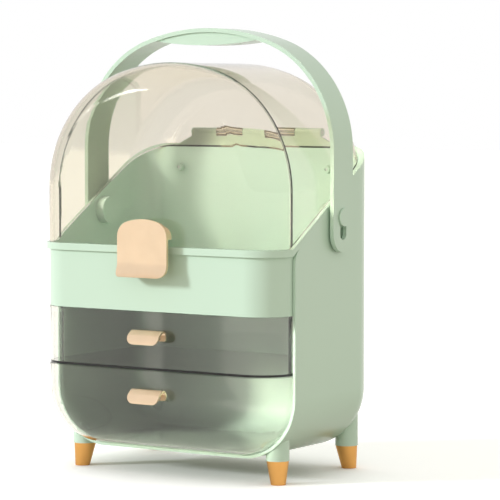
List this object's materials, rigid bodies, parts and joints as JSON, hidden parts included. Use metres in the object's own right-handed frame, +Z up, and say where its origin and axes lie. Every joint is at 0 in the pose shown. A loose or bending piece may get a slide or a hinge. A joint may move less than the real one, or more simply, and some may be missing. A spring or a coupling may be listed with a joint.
{
  "type": "cosmetics storage box with drawers and hinged lid",
  "caption": "Tabletop cosmetics box on feet, with clear pull-out drawers, an open tray under a clear hinged dome and a swinging carry handle.",
  "frame": {"origin": "middle of the footprint on the surface that the box stands on, centred on the whole outline front to back", "axes": "+Z up, +X to the right seen from the front, -Y is the front"},
  "size_m": [0.2972, 0.2084, 0.4282],
  "materials": {
    "mint_plastic": "satin moulded pastel mint plastic",
    "clear_lid": "clear warm-tinted acrylic, polished",
    "clear_drawer": "clear smoky grey-green acrylic, polished",
    "champagne_gold": "satin champagne gold plating",
    "foot_gold": "satin deep gold coating",
    "steel": "plain zinc-plated steel"
  },
  "bodies": {
    "case": {"case_shell": "mint_plastic", "upper_tray": "mint_plastic", "tray_screws": "steel", "foot_front_left": "foot_gold", "foot_front_right": "foot_gold", "foot_rear_left": "foot_gold", "foot_rear_right": "foot_gold", "foot_screws": "steel", "hinge_pin": "steel"},
    "lid": {"lid_canopy": "clear_lid", "lid_front_panel": "clear_lid", "lid_seam_ring": "clear_lid", "lid_pull": "champagne_gold", "lid_pull_mount": "champagne_gold", "lid_pull_screws": "steel"},
    "handle_pivots": {"pivot_left": "mint_plastic", "pivot_right": "mint_plastic", "pivot_washers": "steel", "pivot_screws": "steel"},
    "handle": {"handle_strap": "mint_plastic", "handle_grip": "mint_plastic", "grip_screws": "steel"},
    "drawer_upper": {"drawer_upper_tray": "clear_drawer", "drawer_upper_pull": "champagne_gold", "drawer_upper_screws": "steel"},
    "drawer_lower": {"drawer_lower_tray": "clear_drawer", "drawer_lower_pull": "champagne_gold", "drawer_lower_screws": "steel"}
  },
  "joints": [
    {"name": "lid_hinge", "type": "hinge", "parent": "case", "child": "lid", "pos_m": [0, 0.10022, 0.32685], "axis": [-1, 0, 0], "range_deg": [0, 66]},
    {"name": "handle_swing", "type": "hinge", "parent": "case", "child": "handle_pivots", "pos_m": [0, 0.02523, 0.2487], "axis": [-1, 0, 0], "range_deg": [0, 132]},
    {"name": "handle_lift", "type": "slide", "parent": "handle_pivots", "child": "handle", "axis": [0, 0, 1], "range_m": [0, 0.0158]},
    {"name": "drawer_upper_slide", "type": "slide", "parent": "case", "child": "drawer_upper", "axis": [0, -1, 0], "range_m": [0, 0.11]},
    {"name": "drawer_lower_slide", "type": "slide", "parent": "case", "child": "drawer_lower", "axis": [0, -1, 0], "range_m": [0, 0.11]}
  ],
  "couplings": [
    {"joint": "handle_swing", "follows": "lid_hinge", "ratio": 2}
  ]
}
